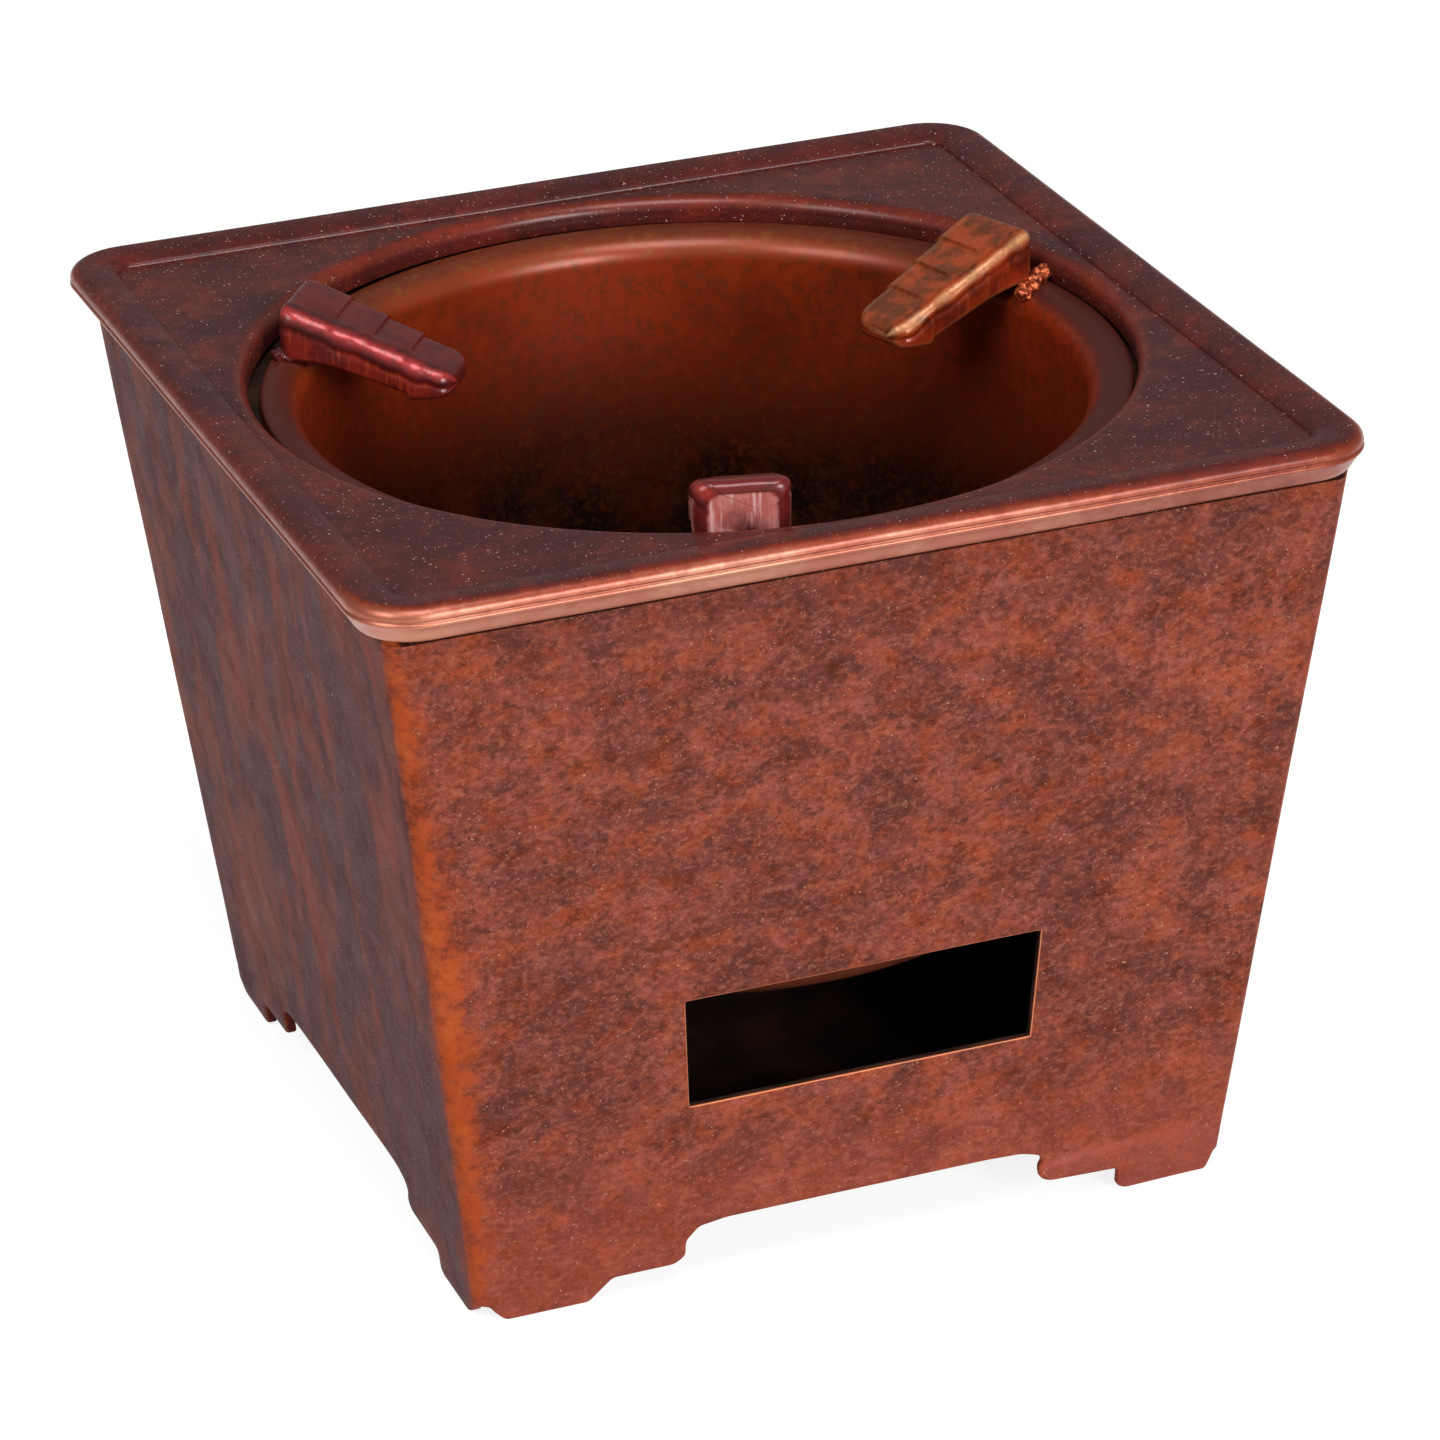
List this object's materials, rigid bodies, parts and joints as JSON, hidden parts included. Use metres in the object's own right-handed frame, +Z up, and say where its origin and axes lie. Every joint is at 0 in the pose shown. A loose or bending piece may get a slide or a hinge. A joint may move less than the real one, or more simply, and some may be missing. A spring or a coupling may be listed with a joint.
{
  "type": "charcoal tea stove",
  "caption": "Square tapered copper tabletop charcoal stove with bracket feet, a front air vent, a bordered top plate and a lift-out round fire bowl with wedge pot rests.",
  "frame": {"origin": "on the table, midway between the feet", "axes": "+Z up, the vent in the wall that faces -Y, +X to the right of someone who looks at the vent"},
  "size_m": [0.2, 0.2, 0.1644],
  "materials": {
    "wall_copper": "patinated red copper sheet, waxed",
    "plate_copper": "patinated red copper pressing, waxed",
    "bowl_copper": "heat-tinted spun copper",
    "rest_copper": "cast copper, patinated and waxed",
    "sooted_copper": "sooted copper"
  },
  "bodies": {
    "stove": {"body_shell": "wall_copper", "top_plate": "plate_copper", "bowl_seat_ring": "sooted_copper", "floor_plate": "sooted_copper"},
    "bowl": {"fire_bowl": "bowl_copper", "pot_rest_front": "rest_copper", "pot_rest_left": "rest_copper", "pot_rest_right": "rest_copper"},
    "grate": {"fire_grate": "sooted_copper"}
  },
  "joints": [
    {"name": "bowl_lift", "type": "slide", "parent": "stove", "child": "bowl", "axis": [0, 0, 1], "range_m": [0, 0.12]},
    {"name": "grate_lift", "type": "slide", "parent": "bowl", "child": "grate", "axis": [0, 0, 1], "range_m": [0, 0.12]}
  ]
}
